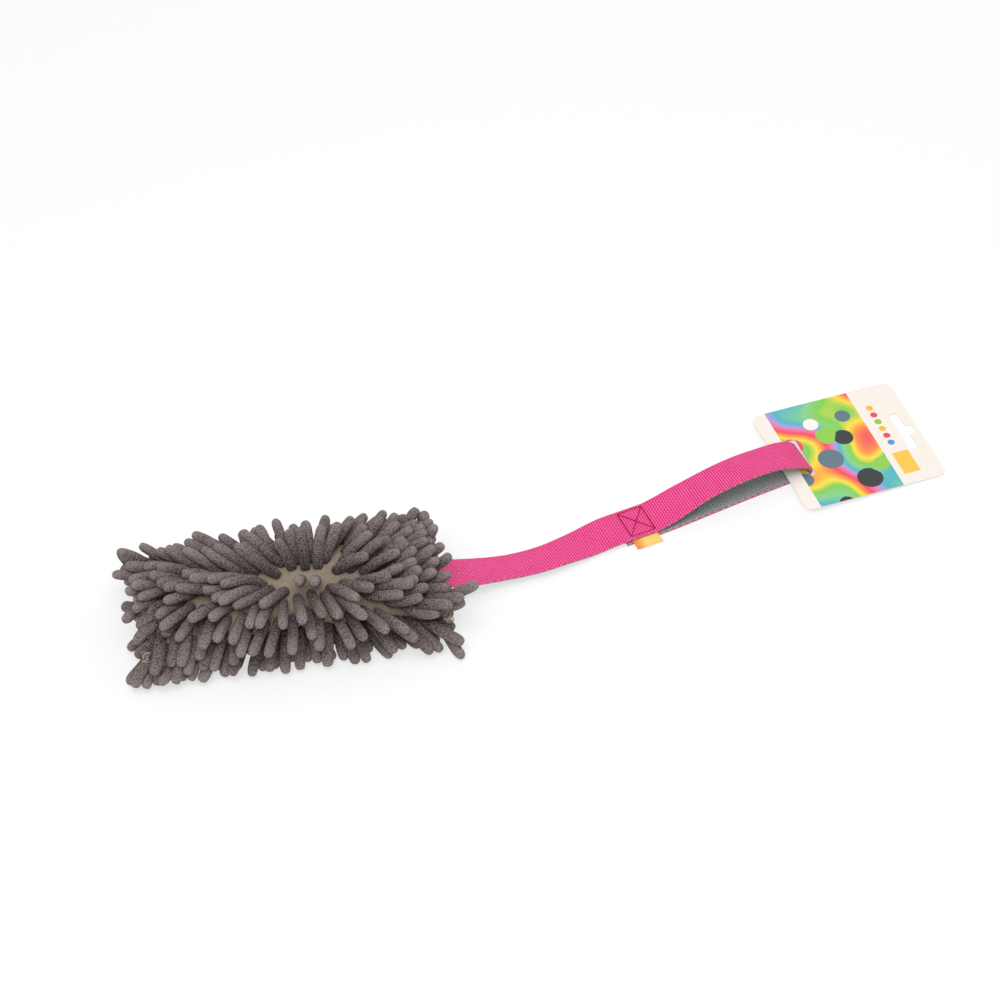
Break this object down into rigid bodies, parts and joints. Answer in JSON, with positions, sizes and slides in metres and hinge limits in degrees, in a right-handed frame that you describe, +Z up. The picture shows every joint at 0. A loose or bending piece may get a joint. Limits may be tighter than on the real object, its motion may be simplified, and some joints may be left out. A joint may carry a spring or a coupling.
{
  "type": "dog tug toy",
  "caption": "Dog tug toy: a stuffed sleeve of chenille noodles on a woven webbing handle with a sewn hand loop, a side label and a hang card.",
  "frame": {"origin": "on the ground under the middle of the box stitch, on the underside of the strap's cut end", "axes": "+X along the strap from the noodle sleeve towards the hang card, +Z up off the ground, +Y across the strap away from the side label"},
  "size_m": [0.5204, 0.1314, 0.0663],
  "materials": {
    "noodle_fabric": "grey chenille microfibre noodles on a beige ribbed backing, matt",
    "wadding": "loose white polyester wadding",
    "overlock_thread": "beige overlock thread, matt",
    "webbing": "magenta woven polyester webbing with a grey inner face",
    "stitch_thread": "dark crimson sewing thread",
    "label_tape": "amber woven label tape, folded",
    "card_board": "smooth coated card with a printed picture zone"
  },
  "bodies": {
    "mop": {"pile_top_far": "noodle_fabric", "pile_top_near": "noodle_fabric", "pile_bottom_near": "noodle_fabric", "pile_bottom_far": "noodle_fabric", "wadding_core": "wadding", "long_seam": "overlock_thread", "end_seam_plain": "overlock_thread", "end_seam_strap": "overlock_thread", "strap_root": "webbing", "tail_stitch": "stitch_thread"},
    "strap_near": {"strap_mop_side": "webbing"},
    "strap_far": {"strap_hand_side": "webbing", "strap_cut_end": "webbing", "box_stitch": "stitch_thread", "label_tail": "label_tape"},
    "label": {"side_label": "label_tape"},
    "loop": {"hand_loop": "webbing"},
    "card": {"hang_card": "card_board"}
  },
  "joints": [
    {"name": "mop_swing", "type": "hinge", "parent": "mop", "child": "strap_near", "pos_m": [-0.1195, 0, 0.01514], "axis": [0, 1, 0], "range_deg": [-90, 55]},
    {"name": "strap_twist", "type": "hinge", "parent": "strap_near", "child": "strap_far", "pos_m": [-0.062, 0, 0.0032], "axis": [1, 0, 0], "range_deg": [-90, 90]},
    {"name": "loop_fold", "type": "hinge", "parent": "strap_far", "child": "loop", "pos_m": [0.01, 0, 0.0021], "axis": [0, -1, 0], "range_deg": [-90, 70]},
    {"name": "card_lift", "type": "hinge", "parent": "loop", "child": "card", "pos_m": [0.1025, 0.00655, 0.0038], "axis": [-0.0663, -0.9978, 0], "range_deg": [0, 70]},
    {"name": "label_flap", "type": "hinge", "parent": "strap_far", "child": "label", "pos_m": [0, -0.0131, 0.0021], "axis": [-1, 0, 0], "range_deg": [-75, 100]}
  ]
}
